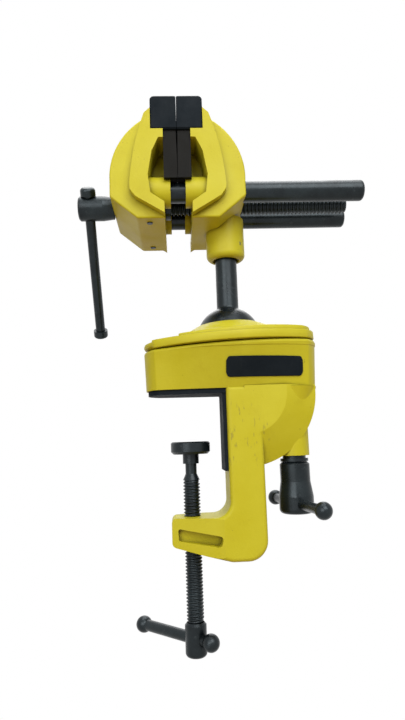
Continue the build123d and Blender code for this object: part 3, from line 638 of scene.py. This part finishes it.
def side_plate():
    """Plain dark plate with round corners, laid on the frame's near side and bowed with it."""
    left, right, low, high = 22.5 * MM, 70.5 * MM, 9.0 * MM, 21.0 * MM
    corner, thick, sink, edge_round = 2.6 * MM, 0.8 * MM, 0.3 * MM, 0.25 * MM
    columns, rows = 48, 6
    grid = []
    for i in range(columns + 1):
        x = left + (right - left) * i / columns
        into_corner = max(0.0, corner - min(x - left, right - x))
        nip = corner - sqrt(max(0.0, corner**2 - into_corner**2))
        line = []
        for k in range(rows + 1):
            z = low + nip + (high - low - 2 * nip) * k / rows
            line.append((x, on_clamp_body(Vector((x, -PROBE, z)), Vector((0, 1, 0))).y, z))
        grid.append(line)
    bm = bmesh.new()
    outer = [[bm.verts.new((x, y - thick, z)) for x, y, z in line] for line in grid]
    inner = [[bm.verts.new((x, y + sink, z)) for x, y, z in line] for line in grid]
    for i in range(columns):
        for k in range(rows):
            bm.faces.new((outer[i][k], outer[i + 1][k], outer[i + 1][k + 1], outer[i][k + 1]))
            bm.faces.new((inner[i][k], inner[i][k + 1], inner[i + 1][k + 1], inner[i + 1][k]))
        for k in (0, rows):
            bm.faces.new((outer[i][k], outer[i + 1][k], inner[i + 1][k], inner[i][k]))
    for i in (0, columns):
        for k in range(rows):
            bm.faces.new((outer[i][k], outer[i][k + 1], inner[i][k + 1], inner[i][k]))
    soften = new_piece("side_plate", bm, "frame", "black_rubber").modifiers.new("edge", "BEVEL")
    soften.width = edge_round
    soften.segments = 2
    soften.limit_method = "ANGLE"


threaded_screws()
ball_and_post()
clamp_plate()
body_rim()
side_plate()


# ---------------------------------------------------------------- stage, light and camera

def seen_white(tree):
    """One for the rays from the camera and for what glossy and clear surfaces show."""
    ray = tree.nodes.new("ShaderNodeLightPath")
    seen = ray.outputs["Is Camera Ray"]
    for name in ("Is Glossy Ray", "Is Transmission Ray"):
        more = tree.nodes.new("ShaderNodeMath")
        more.operation = "ADD"
        more.use_clamp = True
        tree.links.new(seen, more.inputs[0])
        tree.links.new(ray.outputs[name], more.inputs[1])
        seen = more.outputs[0]
    return seen


def white_when_seen(tree, lit, white, output):
    """Sends the lit shader to the output, and the white one where seen_white says so."""
    mix = tree.nodes.new("ShaderNodeMixShader")
    tree.links.new(seen_white(tree), mix.inputs["Fac"])
    tree.links.new(lit, mix.inputs[1])
    tree.links.new(white, mix.inputs[2])
    tree.links.new(mix.outputs["Shader"], output.inputs["Surface"])


def stage_floor():
    """Pale floor that reads white to the camera and gives a soft bounce."""
    bpy.ops.mesh.primitive_plane_add(size=FLOOR_SIZE, location=(0, 0, FLOOR_HEIGHT))
    floor = bpy.context.object
    floor.name = "floor"
    material = bpy.data.materials.new("pale_floor")
    material.use_nodes = True
    tree = material.node_tree
    shader = tree.nodes["Principled BSDF"]
    shader.inputs["Base Color"].default_value = FLOOR_COLOUR
    shader.inputs["Roughness"].default_value = FLOOR_ROUGHNESS
    glow = tree.nodes.new("ShaderNodeEmission")
    glow.inputs["Strength"].default_value = 1.0
    white_when_seen(tree, shader.outputs["BSDF"], glow.outputs["Emission"], tree.nodes["Material Output"])
    floor.data.materials.append(material)


def area_light(name, place, power):
    light = bpy.data.lights.new(name, "AREA")
    light.shape = "SQUARE"
    light.size = LIGHT_SIZE
    light.energy = power
    obj = linked(name, light)
    obj.location = place
    obj.rotation_euler = (LIGHT_AIM - Vector(place)).to_track_quat("-Z", "Y").to_euler()


def studio():
    """A dim cool world that reads white to the camera, and four soft lights."""
    world = bpy.data.worlds.new("studio")
    world.use_nodes = True
    bpy.context.scene.world = world
    tree = world.node_tree
    tree.nodes.clear()
    ambient = tree.nodes.new("ShaderNodeBackground")
    ambient.inputs["Color"].default_value = AMBIENT_COLOUR
    ambient.inputs["Strength"].default_value = AMBIENT_STRENGTH
    white = tree.nodes.new("ShaderNodeBackground")
    white.inputs["Color"].default_value = (1, 1, 1, 1)
    white.inputs["Strength"].default_value = 1.0
    output = tree.nodes.new("ShaderNodeOutputWorld")
    white_when_seen(tree, ambient.outputs["Background"], white.outputs["Background"], output)
    for name, place, power in LIGHTS:
        area_light(name, place, power)


def camera():
    """Camera from its yaw, pitch and roll, looking along +Y."""
    level = Vector((cos(CAMERA_YAW), -sin(CAMERA_YAW), 0))
    flat = cos(CAMERA_PITCH)
    ahead = Vector((sin(CAMERA_YAW) * flat, cos(CAMERA_YAW) * flat, sin(CAMERA_PITCH)))
    up = level.cross(ahead)
    right = cos(CAMERA_ROLL) * level + sin(CAMERA_ROLL) * up
    top = cos(CAMERA_ROLL) * up - sin(CAMERA_ROLL) * level
    data = bpy.data.cameras.new("camera")
    data.sensor_fit = "AUTO"
    data.sensor_width = CAMERA_SENSOR
    data.lens = CAMERA_LENS
    data.clip_start = CAMERA_CLIP
    obj = linked("camera", data)
    turn = Matrix((right, top, -ahead)).transposed().to_4x4()
    obj.matrix_world = Matrix.Translation(CAMERA_PLACE) @ turn
    bpy.context.scene.camera = obj


stage_floor()
studio()
camera()
bpy.context.scene.view_settings.view_transform = "Standard"
